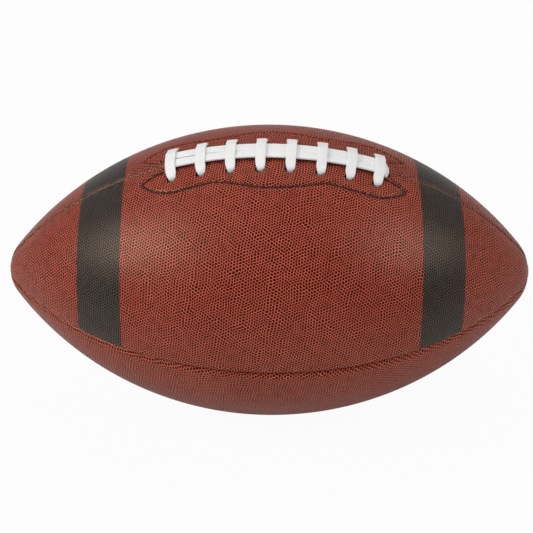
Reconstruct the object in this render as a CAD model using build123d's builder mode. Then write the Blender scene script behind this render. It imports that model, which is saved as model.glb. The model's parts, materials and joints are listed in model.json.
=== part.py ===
from build123d import *

import os
from math import asin, atan2, cos, degrees, radians, sin, sqrt

# An american football. Four leather panels are sewn along four seams that run from nose to nose,
# each over its own fabric lining, round a rubber bladder. One lace closes the slit in the lace seam.
# X runs nose to nose, +Z points out through the lacing, -Y is the front, and the origin is the
# centre of the ball. Sizes are in millimetres.

# Outline of the ball
BALL_LENGTH = 283.0
BELLY_DIAMETER = 157.6
NOSE_RADIUS = 21.2
NOSE_HOLE_RADIUS = 2.6

# Layers of the cover, outside to inside
LEATHER_THICKNESS = 2.2
LINING_THICKNESS = 1.2
FACING_THICKNESS = 1.5
TONGUE_THICKNESS = 1.2
BLADDER_WALL = 0.8
LAYER_GAP = 0.15
SEAM_DEPTH = 7.2
LIP_RADIUS = 1.3

# Sewing thread
THREAD_RADIUS = 0.4
RUNG_RADIUS = 0.3
THREAD_GAP = 0.08
SEAM_STITCH_PITCH = 6.5
SEAM_END_RADIUS = 10.0
FACING_STITCH_PITCH = 3.5

# Lacing
LACE_WIDTH = 5.2
LACE_THICKNESS = 1.6
LACE_EDGE_RADIUS = 0.5
LACE_BEND_RADIUS = 1.5
LACE_COUNT = 8
LACE_PITCH = 15.15
LACING_SHIFT = 2.3
LACE_SIDE_RUN = 7.6
LACE_HOLE_GAP = 0.4
STRIP_WIDTH = 5.0
STRIP_SPACING = 0.3
STRIP_END_GAP = 0.7
LACE_TAIL = 5.0
UNDER_LACE_GAP = 0.4

# Facings under the lace holes: their stitch line past the holes and past the strips' ends
FACING_WAIST_MARGIN = 7.4
FACING_CORNER_MARGIN = 8.9
FACING_MIDDLE_MARGIN = 11.9
FACING_CORNER_PAST = 2.85
FACING_RETURN_GAP = 2.35
FACING_POINT_LENGTH = 8.75
FACING_POINT_DROP = 4.0
FACING_END_RADIUS = 1.5
FACING_CORNER_RADIUS = 6.0
FACING_WAVE_RADIUS = 25.0
FACING_HEM = 2.5
FACING_SLIT_GAP = 1.0

# Tongue under the lacing
TONGUE_END_GAP = 1.0
TONGUE_MARGIN = 5.4
TONGUE_CORNER_RADIUS = 8.0

# Valve in the rear lace panel
VALVE_ANGLE = 45.0
VALVE_RECESS = 0.4
VALVE_LENGTH = 17.0
VALVE_GAP = 0.1
VALVE_HOLE_GAP = 0.25
VALVE_FLANGE_WIDTH = 4.4
VALVE_FLANGE_THICKNESS = 1.0
HOUSING_WALL = 0.6
CORE_RADIUS = 2.2
CORE_HEAD_STEP = 0.7
CORE_HEAD_THICKNESS = 0.8
NEEDLE_BORE_RADIUS = 1.1
NEEDLE_BORE_LENGTH = 8.0
CORE_SLIT_WIDTH = 2.4
CORE_SLIT_THICKNESS = 0.2

# How far a cutting shape runs past what it cuts
OVERCUT = 1.0

# The profile is a belly arc that runs tangent into a nose arc at each end
HALF_LENGTH = BALL_LENGTH / 2
BELLY_RADIUS = BELLY_DIAMETER / 2
NOSE_CENTRE = HALF_LENGTH - NOSE_RADIUS
ARC_RADIUS = (NOSE_CENTRE**2 + BELLY_RADIUS**2 - NOSE_RADIUS**2) / (2 * (BELLY_RADIUS - NOSE_RADIUS))
ARC_CENTRE = BELLY_RADIUS - ARC_RADIUS
TANGENT_ANGLE = atan2(-ARC_CENTRE, NOSE_CENTRE)

# Depths below the leather's surface at which each layer starts
LINING_DEPTH = LEATHER_THICKNESS + LAYER_GAP
FACING_DEPTH = LINING_DEPTH + LINING_THICKNESS + LAYER_GAP
UNDER_LACE_DEPTH = FACING_DEPTH + FACING_THICKNESS + UNDER_LACE_GAP
TONGUE_DEPTH = UNDER_LACE_DEPTH + LACE_THICKNESS + LAYER_GAP
RECESS_DEPTH = TONGUE_DEPTH + TONGUE_THICKNESS + LAYER_GAP
BLADDER_DEPTH = FACING_DEPTH
GROOVE_DEPTH = SEAM_DEPTH + LAYER_GAP

# Seam stitching lies half way down the turned-in edges, against the linings
SEAM_STITCH_DEPTH = (LINING_DEPTH + LINING_THICKNESS + SEAM_DEPTH) / 2
SEAM_THREAD_OFFSET = LINING_DEPTH + LINING_THICKNESS + THREAD_GAP + THREAD_RADIUS
GROOVE_HALF_WIDTH = SEAM_THREAD_OFFSET + THREAD_RADIUS + LAYER_GAP
SEAM_ARC_RADIUS = ARC_RADIUS - SEAM_STITCH_DEPTH
SEAM_END_X = sqrt(SEAM_ARC_RADIUS**2 - (SEAM_END_RADIUS - ARC_CENTRE) ** 2)

# The lace lies on the leather: two strips along the seam, then the cross-laces over them
STRIP_TOP = LAYER_GAP + LACE_THICKNESS
CROSS_HEIGHT = STRIP_TOP + LAYER_GAP + LACE_THICKNESS / 2
LACING_HALF_SPAN = (LACE_COUNT - 1) * LACE_PITCH / 2
LACE_FIRST_X = LACING_SHIFT - LACING_HALF_SPAN
LACE_LAST_X = LACING_SHIFT + LACING_HALF_SPAN
STRIP_HALF_BAND = STRIP_SPACING / 2 + STRIP_WIDTH
LACE_HOLE_REACH = STRIP_HALF_BAND + LACE_SIDE_RUN
STRIP_OVERHANG = LACE_WIDTH / 2 + STRIP_END_GAP + LACE_THICKNESS / 2
DIVE_REACH = STRIP_OVERHANG + LACE_THICKNESS / 2
SLIT_LOW = LACE_FIRST_X - DIVE_REACH - LACE_TAIL - LAYER_GAP - OVERCUT
SLIT_HIGH = LACE_LAST_X + DIVE_REACH + LACE_TAIL + LAYER_GAP + OVERCUT
TONGUE_HALF_LENGTH = (SLIT_HIGH - SLIT_LOW) / 2 - TONGUE_END_GAP
TONGUE_HALF_WIDTH = LACE_HOLE_REACH + TONGUE_MARGIN

# Stitch line of a facing: distances from the lacing's middle, and reaches from the lace seam
FACING_RETURN_X = LACING_HALF_SPAN + DIVE_REACH + LAYER_GAP
FACING_RETURN_REACH = STRIP_HALF_BAND + FACING_RETURN_GAP
FACING_HALF_LENGTH = FACING_RETURN_X + FACING_POINT_LENGTH
FACING_END_REACH = FACING_RETURN_REACH + FACING_POINT_DROP
FACING_CORNER_X = LACING_HALF_SPAN + FACING_CORNER_PAST
FACING_CORNER_REACH = LACE_HOLE_REACH + FACING_CORNER_MARGIN
FACING_WAIST_X = LACING_HALF_SPAN / 2
FACING_WAIST_REACH = LACE_HOLE_REACH + FACING_WAIST_MARGIN
FACING_MIDDLE_REACH = LACE_HOLE_REACH + FACING_MIDDLE_MARGIN

# Thread of the facings, from the skin
FACING_THREAD_HEIGHT = THREAD_GAP + THREAD_RADIUS
FACING_THREAD_DEPTH = FACING_DEPTH + FACING_THICKNESS + THREAD_GAP + THREAD_RADIUS

# The bladder is pressed in under the facings, the lace and the tongue
RECESS_HALF_LENGTH = max(TONGUE_HALF_LENGTH, FACING_HALF_LENGTH + FACING_HEM) + OVERCUT
RECESS_HALF_WIDTH = max(TONGUE_HALF_WIDTH, FACING_MIDDLE_REACH + FACING_HEM) + OVERCUT

# Valve radii from the core outwards
CORE_HEAD_RADIUS = CORE_RADIUS + CORE_HEAD_STEP
VALVE_STEM_RADIUS = CORE_HEAD_RADIUS + VALVE_GAP + HOUSING_WALL
VALVE_FLANGE_RADIUS = VALVE_STEM_RADIUS + VALVE_FLANGE_WIDTH

# Sides of the lace seam, as the sign of Y
FRONT = -1
REAR = 1

# Directions, as angles about X from the rear seam
REAR_SEAM = 0
LACE_SEAM = 90
FRONT_SEAM = 180
BOTTOM_SEAM = 270
QUARTER_TURN = 90
FULL_TURN = 360
SEAM_NAMES = {"rear": REAR_SEAM, "lace": LACE_SEAM, "front": FRONT_SEAM, "bottom": BOTTOM_SEAM}
SEAMS = list(SEAM_NAMES.values())


def skin_radius(x, depth=0.0):
    """Distance of the belly arc from the ball's axis."""
    return ARC_CENTRE + sqrt((ARC_RADIUS - depth) ** 2 - x**2)


def skin_slope(x):
    """Angle by which the skin falls away from the X direction."""
    return asin(x / ARC_RADIUS)


def direction(angle):
    """Unit vector out from the axis at an angle about X."""
    return Vector(0, cos(radians(angle)), sin(radians(angle)))


def meridian(angle):
    """Plane through the axis, X along the ball and Y outwards."""
    return Plane((0, 0, 0), x_dir=(1, 0, 0), z_dir=Vector(1, 0, 0).cross(direction(angle)))


def cross_section(angle):
    """Plane across the ball at its centre, X outwards at the given angle."""
    return Plane((0, 0, 0), x_dir=direction(angle), z_dir=(1, 0, 0))


def lacing_plane(x):
    """Plane across the lace seam, square to the skin: X to the rear and Y outwards."""
    slope = skin_slope(x)
    return Plane((x, 0, skin_radius(x)), x_dir=(0, 1, 0), z_dir=(cos(slope), 0, -sin(slope)))


def lacing_radius(x):
    """Radius of the skin in the plane across the lace seam."""
    return skin_radius(x) / cos(skin_slope(x))


def lacing_point(x, reach, depth):
    """Point in the plane across the lace seam, at a reach along the skin and a depth below it."""
    radius = lacing_radius(x)
    turn = reach / radius
    return ((radius - depth) * sin(turn), (radius - depth) * cos(turn) - radius)


def skin_plane(x, reach):
    """Plane that touches the skin beside the lace seam: X along the ball and Z outwards."""
    across = lacing_plane(x)
    turn = reach / lacing_radius(x)
    p, q = lacing_point(x, reach, 0.0)
    place = across.origin + across.x_dir * p + across.y_dir * q
    outward = across.x_dir * sin(turn) + across.y_dir * cos(turn)
    return Plane(place, x_dir=across.z_dir, z_dir=outward)


VALVE_PLANE = Plane(direction(VALVE_ANGLE) * BELLY_RADIUS, x_dir=(1, 0, 0), z_dir=direction(VALVE_ANGLE))


def lens(depth):
    """Half of the ball's outline, closed along the axis, at a depth below the leather's surface."""
    nose = NOSE_RADIUS - depth
    join_x = NOSE_CENTRE + nose * cos(TANGENT_ANGLE)
    join_y = nose * sin(TANGENT_ANGLE)
    bow_x = NOSE_CENTRE + nose * cos(TANGENT_ANGLE / 2)
    bow_y = nose * sin(TANGENT_ANGLE / 2)
    tip = NOSE_CENTRE + nose
    with BuildSketch() as half:
        with BuildLine():
            ThreePointArc((-tip, 0), (-bow_x, bow_y), (-join_x, join_y))
            ThreePointArc((-join_x, join_y), (0, BELLY_RADIUS - depth), (join_x, join_y))
            ThreePointArc((join_x, join_y), (bow_x, bow_y), (tip, 0))
            Line((tip, 0), (-tip, 0))
        make_face()
    return half.sketch


def crescent(outer, inner, hole=0.0):
    """Section of a shell between two depths, with an optional hole along the axis."""
    outer_face = lens(outer)
    inner_face = lens(inner)
    with BuildSketch() as section:
        add(outer_face)
        add(inner_face, mode=Mode.SUBTRACT)
        if hole:
            Rectangle(2 * BALL_LENGTH, 2 * hole, mode=Mode.SUBTRACT)
    return section.sketch


def band(low, high, outer, inner):
    """Section of a strip that follows the belly arc from one X to another, between two depths."""
    middle = (low + high) / 2
    with BuildSketch() as section:
        with BuildLine():
            ends = []
            for depth in (outer, inner):
                start, bow, end = [(x, skin_radius(x, depth)) for x in (low, middle, high)]
                ThreePointArc(start, bow, end)
                ends.append((start, end))
            for outer_end, inner_end in zip(*ends):
                Line(outer_end, inner_end)
        make_face()
    return section.sketch


def quarter_shell(start, outer, inner, edge, lip=0.0):
    """A quarter of a shell between two depths, its long sides set back from the seam planes.

    A lip rounds the two outer edges that meet the neighbouring panels.
    """
    section = crescent(outer, inner, NOSE_HOLE_RADIUS)
    with BuildPart() as shell:
        with BuildSketch(meridian(start)):
            add(section)
        revolve(axis=Axis.X, revolution_arc=QUARTER_TURN)
        if lip:
            sides = shell.faces().filter_by(GeomType.PLANE)
            fillet([side.edges().sort_by(SortBy.LENGTH)[-1] for side in sides], radius=lip)
        if edge:
            with BuildSketch(cross_section(start)):
                with Locations((edge, edge)):
                    Rectangle(BELLY_DIAMETER, BELLY_DIAMETER, align=(Align.MIN, Align.MIN))
            extrude(amount=BALL_LENGTH, both=True, mode=Mode.INTERSECT)
    return shell.part


def cover(start, depth, thickness, lip=0.0):
    """A panel or a lining: a quarter of the skin with its long edges turned in along the seams."""
    thick_shell = quarter_shell(start, depth, SEAM_DEPTH, depth, lip)
    pocket = quarter_shell(start, depth + thickness, SEAM_DEPTH + OVERCUT, depth + thickness)
    with BuildPart() as piece:
        add(thick_shell)
        add(pocket, mode=Mode.SUBTRACT)
    return piece.part


def seam_points(low, high):
    """Ends of the stitches along a seam, evenly spaced on the stitching's arc."""
    first = asin(low / SEAM_ARC_RADIUS)
    last = asin(high / SEAM_ARC_RADIUS)
    count = int((last - first) * SEAM_ARC_RADIUS / SEAM_STITCH_PITCH)
    angles = [first + (last - first) * i / count for i in range(count + 1)]
    return [(SEAM_ARC_RADIUS * sin(a), ARC_CENTRE + SEAM_ARC_RADIUS * cos(a)) for a in angles]


def seam_rows(angle):
    """Rows of stitch ends on one seam: the lace seam is open between its two rows."""
    if angle == LACE_SEAM:
        return [seam_points(-SEAM_END_X, SLIT_LOW - OVERCUT), seam_points(SLIT_HIGH + OVERCUT, SEAM_END_X)]
    return [seam_points(-SEAM_END_X, SEAM_END_X)]


def needle_points(row):
    """Places half way along each stitch of a row, where the thread goes through."""
    return [((ax + bx) / 2, (ay + by) / 2) for (ax, ay), (bx, by) in zip(row, row[1:])]


def seam_holes(angle):
    """Needle holes of one seam, through the turned-in edges of both panels and both linings."""
    with BuildPart() as needles:
        with BuildSketch(meridian(angle).offset(-SEAM_THREAD_OFFSET)):
            with Locations(*[point for row in seam_rows(angle) for point in needle_points(row)]):
                Circle(RUNG_RADIUS + THREAD_GAP)
        extrude(amount=2 * SEAM_THREAD_OFFSET)
    return needles.part


def seam_thread(angle):
    """Lockstitch of one seam: a thread along each side, joined by a loop through every hole."""
    with BuildPart() as thread:
        for row in seam_rows(angle):
            for side in (-SEAM_THREAD_OFFSET, SEAM_THREAD_OFFSET):
                with BuildLine(meridian(angle).offset(side)) as rail:
                    Polyline(*row)
                with BuildSketch(Plane(rail.line @ 0, z_dir=rail.line % 0)):
                    Circle(THREAD_RADIUS)
                sweep(transition=Transition.RIGHT)
            with BuildSketch(meridian(angle).offset(-SEAM_THREAD_OFFSET)):
                with Locations(*needle_points(row)):
                    Circle(RUNG_RADIUS)
            extrude(amount=2 * SEAM_THREAD_OFFSET)
    return thread.part


def slit_pocket(depth, half_width):
    """Room under the slit, where the panels' edges aren't turned in, from a depth inwards."""
    section = band(SLIT_LOW, SLIT_HIGH, depth, SEAM_DEPTH + OVERCUT)
    turn = degrees(half_width / skin_radius(SLIT_HIGH, SEAM_DEPTH))
    with BuildPart() as room:
        with BuildSketch(meridian(LACE_SEAM - turn)):
            add(section)
        revolve(axis=Axis.X, revolution_arc=2 * turn)
    return room.part


def lace_x(index):
    """Place of a cross-lace along the ball."""
    return LACE_FIRST_X + index * LACE_PITCH


def lace_slots():
    """Slots for the cross-laces and the two openings where the strips go in."""
    holes = [(lace_x(i), side * LACE_HOLE_REACH) for i in range(LACE_COUNT) for side in (FRONT, REAR)]
    with BuildPart() as slots:
        with BuildSketch(*[skin_plane(x, reach).offset(OVERCUT) for x, reach in holes]):
            RectangleRounded(
                LACE_WIDTH + 2 * LACE_HOLE_GAP,
                LACE_THICKNESS + 2 * LACE_HOLE_GAP,
                LACE_EDGE_RADIUS + LACE_HOLE_GAP,
            )
        extrude(amount=-OVERCUT - UNDER_LACE_DEPTH)
        with BuildSketch(Plane.XY):
            with Locations((LACE_FIRST_X - STRIP_OVERHANG, 0), (LACE_LAST_X + STRIP_OVERHANG, 0)):
                RectangleRounded(
                    LACE_THICKNESS + 2 * LACE_HOLE_GAP,
                    2 * (STRIP_HALF_BAND + LACE_HOLE_GAP),
                    LACE_EDGE_RADIUS + LACE_HOLE_GAP,
                )
        extrude(amount=BELLY_DIAMETER)
    return slots.part


def facing_stitch_line():
    """Plan of a facing's stitch line: X along the ball, Y the reach from the lace seam."""
    with BuildLine() as line:
        FilletPolyline(
            (LACING_SHIFT - FACING_RETURN_X, FACING_RETURN_REACH),
            (LACING_SHIFT - FACING_HALF_LENGTH, FACING_END_REACH),
            (LACING_SHIFT - FACING_CORNER_X, FACING_CORNER_REACH),
            (LACING_SHIFT - FACING_WAIST_X, FACING_WAIST_REACH),
            (LACING_SHIFT, FACING_MIDDLE_REACH),
            (LACING_SHIFT + FACING_WAIST_X, FACING_WAIST_REACH),
            (LACING_SHIFT + FACING_CORNER_X, FACING_CORNER_REACH),
            (LACING_SHIFT + FACING_HALF_LENGTH, FACING_END_REACH),
            (LACING_SHIFT + FACING_RETURN_X, FACING_RETURN_REACH),
            radius=[
                FACING_END_RADIUS,
                FACING_CORNER_RADIUS,
                FACING_WAVE_RADIUS,
                FACING_WAVE_RADIUS,
                FACING_WAVE_RADIUS,
                FACING_CORNER_RADIUS,
                FACING_END_RADIUS,
            ],
        )
    return line.wire()


def facing_planes(side):
    """Planes on the skin along a facing's stitch line, one at each end of every stitch."""
    line = facing_stitch_line()
    count = int(line.length / FACING_STITCH_PITCH)
    places = [line @ (i / count) for i in range(count + 1)]
    return [skin_plane(place.X, side * place.Y) for place in places]


def facing_needle_planes(side):
    """Planes half way along each stitch of a facing, where the thread goes through."""
    planes = facing_planes(side)
    return [Plane((a.origin + b.origin) / 2, z_dir=a.z_dir + b.z_dir) for a, b in zip(planes, planes[1:])]


def facing_holes(side):
    """Needle holes of a facing's stitch line, through the panel, its lining and the facing."""
    with BuildPart() as needles:
        with BuildSketch(*[plane.offset(FACING_THREAD_HEIGHT) for plane in facing_needle_planes(side)]):
            Circle(RUNG_RADIUS + THREAD_GAP)
        extrude(amount=-FACING_THREAD_HEIGHT - FACING_THREAD_DEPTH)
    return needles.part


def facing_thread(side):
    """Lockstitch of a facing: a thread on the leather, one under the facing, and loops between."""
    planes = facing_planes(side)
    with BuildPart() as thread:
        for height in (FACING_THREAD_HEIGHT, -FACING_THREAD_DEPTH):
            with BuildLine() as rail:
                Polyline(*[plane.offset(height).origin for plane in planes])
            with BuildSketch(Plane(rail.line @ 0, z_dir=rail.line % 0)):
                Circle(THREAD_RADIUS)
            sweep(transition=Transition.RIGHT)
        with BuildSketch(*[plane.offset(FACING_THREAD_HEIGHT) for plane in facing_needle_planes(side)]):
            Circle(RUNG_RADIUS)
        extrude(amount=-FACING_THREAD_HEIGHT - FACING_THREAD_DEPTH)
    return thread.part


def facing(side):
    """Leather reinforcement under one row of lace holes."""
    section = band(
        LACING_SHIFT - FACING_HALF_LENGTH - 2 * FACING_HEM,
        LACING_SHIFT + FACING_HALF_LENGTH + 2 * FACING_HEM,
        FACING_DEPTH,
        FACING_DEPTH + FACING_THICKNESS,
    )
    start = LACE_SEAM if side == FRONT else LACE_SEAM - QUARTER_TURN / 2
    half_plan = [
        (FACING_RETURN_X, FACING_SLIT_GAP),
        (FACING_RETURN_X, FACING_RETURN_REACH - FACING_HEM),
        (FACING_HALF_LENGTH + FACING_HEM, FACING_END_REACH),
        (FACING_CORNER_X + FACING_HEM / 2, FACING_CORNER_REACH + FACING_HEM),
        (FACING_WAIST_X, FACING_WAIST_REACH + FACING_HEM),
    ]
    left = [(LACING_SHIFT - x, side * y) for x, y in half_plan]
    middle = (LACING_SHIFT, side * (FACING_MIDDLE_REACH + FACING_HEM))
    right = [(LACING_SHIFT + x, side * y) for x, y in reversed(half_plan)]
    with BuildPart() as piece:
        with BuildSketch(meridian(start)):
            add(section)
        revolve(axis=Axis.X, revolution_arc=QUARTER_TURN / 2)
        with BuildSketch(Plane.XY):
            with BuildLine():
                Polyline(*left, middle, *right, close=True)
            make_face()
        extrude(amount=BELLY_DIAMETER, mode=Mode.INTERSECT)
    return piece.part


def body(depth):
    """The ball's whole form, turned about its axis, at a depth below the leather's surface."""
    section = lens(depth)
    with BuildPart() as solid:
        with BuildSketch(meridian(LACE_SEAM)):
            add(section)
        revolve(axis=Axis.X)
    return solid.part


def bladder_form(inset):
    """The space that the inflated bladder fills, pressed in by the seams and by the lacing."""
    whole = body(BLADDER_DEPTH + inset)
    under_lacing = body(RECESS_DEPTH + inset)
    seam_layer = crescent(-OVERCUT, GROOVE_DEPTH + inset)
    groove_width = 2 * (GROOVE_HALF_WIDTH + inset)
    with BuildPart() as grooves:
        with BuildSketch(meridian(LACE_SEAM)):
            add(seam_layer)
        revolve(axis=Axis.X)
        with BuildSketch(Plane.YZ):
            Rectangle(groove_width, 2 * BELLY_DIAMETER)
            Rectangle(2 * BELLY_DIAMETER, groove_width)
        extrude(amount=BALL_LENGTH, both=True, mode=Mode.INTERSECT)
    with BuildPart() as lacing_pad:
        with BuildSketch(Plane.XY):
            with Locations((LACING_SHIFT, 0)):
                RectangleRounded(
                    2 * (RECESS_HALF_LENGTH + inset),
                    2 * (RECESS_HALF_WIDTH + inset),
                    TONGUE_CORNER_RADIUS + inset,
                )
        extrude(amount=BELLY_DIAMETER)
        add(under_lacing, mode=Mode.SUBTRACT)
    with BuildPart() as form:
        add(whole)
        add([grooves.part, lacing_pad.part], mode=Mode.SUBTRACT)
    return form.part


def valve_hole(radius):
    """Round hole on the valve's axis, from outside the leather to inside the bladder."""
    with BuildPart() as hole:
        with BuildSketch(VALVE_PLANE):
            Circle(radius)
        extrude(amount=VALVE_LENGTH, both=True)
    return hole.part


def save(piece, name):
    """Label a finished piece and write it."""
    piece.part.label = name
    export_step(piece.part, f"parts/{name}.step")


os.makedirs("parts", exist_ok=True)
needle_holes = {angle: seam_holes(angle) for angle in SEAMS}
facing_needles = {side: facing_holes(side) for side in (FRONT, REAR)}
slots = lace_slots()
stem_hole = valve_hole(VALVE_STEM_RADIUS + VALVE_HOLE_GAP)
COVER_STARTS = {
    "rear_lace": REAR_SEAM,
    "front_lace": LACE_SEAM,
    "front_lower": FRONT_SEAM,
    "rear_lower": BOTTOM_SEAM,
}
LACE_SIDES = {"rear_lace": REAR, "front_lace": FRONT}

# Leather panels and their linings
LAYERS = {
    "panel": (0.0, LEATHER_THICKNESS, min(LIP_RADIUS, LEATHER_THICKNESS / 2, NOSE_HOLE_RADIUS / 2)),
    "lining": (LINING_DEPTH, LINING_THICKNESS, 0.0),
}
for layer, (depth, thickness, lip) in LAYERS.items():
    slit_room = slit_pocket(depth + thickness, GROOVE_HALF_WIDTH)
    for place, start in COVER_STARTS.items():
        shell = cover(start, depth, thickness, lip)
        cuts = [needle_holes[start], needle_holes[(start + QUARTER_TURN) % FULL_TURN]]
        if place in LACE_SIDES:
            cuts += [slit_room, slots, facing_needles[LACE_SIDES[place]]]
        if start == REAR_SEAM:
            cuts.append(stem_hole)
        with BuildPart() as quarter:
            add(shell)
            add(cuts, mode=Mode.SUBTRACT)
        save(quarter, f"{place}_{layer}")

# Facings and the thread that sews them on
for place, side in LACE_SIDES.items():
    blank = facing(side)
    with BuildPart() as lace_facing:
        add(blank)
        add([slots, facing_needles[side]], mode=Mode.SUBTRACT)
    save(lace_facing, f"{place}_facing")
    stitches = facing_thread(side)
    with BuildPart() as facing_stitching:
        add(stitches)
    save(facing_stitching, f"{place.split('_')[0]}_facing_stitching")

# Thread of the four seams
for name, angle in SEAM_NAMES.items():
    stitches = seam_thread(angle)
    with BuildPart() as seam_stitching:
        add(stitches)
    save(seam_stitching, f"{name}_seam_stitching")

# Tongue between the lacing and the bladder
tongue_section = band(
    LACING_SHIFT - TONGUE_HALF_LENGTH - OVERCUT,
    LACING_SHIFT + TONGUE_HALF_LENGTH + OVERCUT,
    TONGUE_DEPTH,
    TONGUE_DEPTH + TONGUE_THICKNESS,
)
with BuildPart() as lace_tongue:
    with BuildSketch(meridian(LACE_SEAM - QUARTER_TURN / 2)):
        add(tongue_section)
    revolve(axis=Axis.X, revolution_arc=QUARTER_TURN)
    with BuildSketch(Plane.XY):
        with Locations((LACING_SHIFT, 0)):
            RectangleRounded(2 * TONGUE_HALF_LENGTH, 2 * TONGUE_HALF_WIDTH, TONGUE_CORNER_RADIUS)
    extrude(amount=BELLY_DIAMETER, mode=Mode.INTERSECT)
save(lace_tongue, "lace_tongue")

# Lace: the front strip comes out of the slit at the left, runs to the right and goes in again, then
# up through the last front hole. The cross-laces go to and fro down to the first one, whose end joins
# the rear strip under the slit. The strips' free ends are folded outwards inside.
STRIP_LOW = LACE_FIRST_X - DIVE_REACH
STRIP_HIGH = LACE_LAST_X + DIVE_REACH
UNDER_LACE_END = UNDER_LACE_DEPTH + LACE_THICKNESS
LAST_SIDE = FRONT
FIRST_SIDE = FRONT if LACE_COUNT % 2 == 0 else REAR
STRIP_UNDER_ENDS = {
    FRONT: (STRIP_LOW - LACE_TAIL, LACE_LAST_X - LACE_WIDTH / 2),
    REAR: (LACE_FIRST_X + LACE_WIDTH / 2, STRIP_HIGH + LACE_TAIL),
}


def strip_section(side):
    """Side view of one strip: its run on the leather, two legs through the slit, and what lies under."""
    left_under, right_under = STRIP_UNDER_ENDS[side]
    low_inside = STRIP_LOW + LACE_THICKNESS
    high_inside = STRIP_HIGH - LACE_THICKNESS
    runs = [
        band(STRIP_LOW, STRIP_HIGH, -STRIP_TOP, -LAYER_GAP),
        band(STRIP_LOW, low_inside, -STRIP_TOP, UNDER_LACE_END),
        band(high_inside, STRIP_HIGH, -STRIP_TOP, UNDER_LACE_END),
        band(min(STRIP_LOW, left_under), max(low_inside, left_under), UNDER_LACE_DEPTH, UNDER_LACE_END),
        band(min(high_inside, right_under), max(STRIP_HIGH, right_under), UNDER_LACE_DEPTH, UNDER_LACE_END),
    ]
    with BuildSketch() as section:
        for run in runs:
            add(run)
        tops = section.vertices().filter_by(lambda v: v.Y > skin_radius(v.X) + LACE_THICKNESS)
        fillet(tops, radius=LACE_BEND_RADIUS)
    return section.sketch


def under_link(x, reach_from, reach_to):
    """Section of the lace where it runs across the slit under the facings."""
    middle = (reach_from + reach_to) / 2
    with BuildSketch() as section:
        with BuildLine():
            ThreePointArc(
                lacing_point(x, reach_from, UNDER_LACE_DEPTH),
                lacing_point(x, middle, UNDER_LACE_DEPTH),
                lacing_point(x, reach_to, UNDER_LACE_DEPTH),
            )
            Line(lacing_point(x, reach_to, UNDER_LACE_DEPTH), lacing_point(x, reach_to, UNDER_LACE_END))
            ThreePointArc(
                lacing_point(x, reach_to, UNDER_LACE_END),
                lacing_point(x, middle, UNDER_LACE_END),
                lacing_point(x, reach_from, UNDER_LACE_END),
            )
            Line(lacing_point(x, reach_from, UNDER_LACE_END), lacing_point(x, reach_from, UNDER_LACE_DEPTH))
        make_face()
    return section.sketch


def cross_route(x):
    """Corners of one cross-lace in the plane across the seam, from front hole to rear hole."""
    shoulder = STRIP_HALF_BAND + LACE_EDGE_RADIUS
    foot_depth = UNDER_LACE_DEPTH + LACE_THICKNESS / 2
    bend_depth = -LAYER_GAP - LACE_THICKNESS / 2
    return [
        lacing_point(x, -LACE_HOLE_REACH, foot_depth),
        lacing_point(x, -LACE_HOLE_REACH, bend_depth),
        (-shoulder, CROSS_HEIGHT),
        (shoulder, CROSS_HEIGHT),
        lacing_point(x, LACE_HOLE_REACH, bend_depth),
        lacing_point(x, LACE_HOLE_REACH, foot_depth),
    ]


strip_sections = {side: strip_section(side) for side in (FRONT, REAR)}
hole_edge = LACE_HOLE_REACH + LACE_THICKNESS
links = {
    LACE_LAST_X: under_link(LACE_LAST_X, LAST_SIDE * STRIP_SPACING / 2, LAST_SIDE * hole_edge),
    LACE_FIRST_X: under_link(LACE_FIRST_X, REAR * STRIP_HALF_BAND, FIRST_SIDE * hole_edge),
}
under_runs = []
for index in range(LACE_COUNT - 1):
    run_side = REAR if (LACE_COUNT - index) % 2 == 0 else FRONT
    run_low = lace_x(index) - LACE_WIDTH / 2
    run_high = lace_x(index + 1) + LACE_WIDTH / 2
    run_turn = degrees(LACE_HOLE_REACH / skin_radius((run_low + run_high) / 2))
    run_plane = meridian(LACE_SEAM - run_side * run_turn)
    under_runs.append((run_plane, band(run_low, run_high, UNDER_LACE_DEPTH, UNDER_LACE_END)))

with BuildPart() as lace:
    runs = []
    for side, section in strip_sections.items():
        with BuildSketch(meridian(LACE_SEAM).offset(-side * STRIP_SPACING / 2)):
            add(section)
        runs.append(extrude(amount=-side * STRIP_WIDTH, mode=Mode.PRIVATE))
    for index in range(LACE_COUNT):
        across = lacing_plane(lace_x(index))
        with BuildLine(across) as route:
            FilletPolyline(*cross_route(lace_x(index)), radius=LACE_BEND_RADIUS)
        with BuildSketch(Plane(route.line @ 0, x_dir=across.z_dir, z_dir=route.line % 0)):
            RectangleRounded(LACE_WIDTH, LACE_THICKNESS, LACE_EDGE_RADIUS)
        runs.append(sweep(mode=Mode.PRIVATE))
    for x, section in links.items():
        with BuildSketch(lacing_plane(x)):
            add(section)
        runs.append(extrude(amount=LACE_WIDTH / 2, both=True, mode=Mode.PRIVATE))
    for plane, section in under_runs:
        with BuildSketch(plane):
            add(section)
        runs.append(extrude(amount=LACE_WIDTH / 2, both=True, mode=Mode.PRIVATE))
    add(runs)
save(lace, "lace")

# Bladder
outside = bladder_form(0.0)
inside = bladder_form(BLADDER_WALL)
bladder_hole = valve_hole(VALVE_STEM_RADIUS + VALVE_GAP)
with BuildPart() as bladder:
    add(outside)
    add(inside, mode=Mode.SUBTRACT)
    add(bladder_hole, mode=Mode.SUBTRACT)
save(bladder, "bladder")

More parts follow.
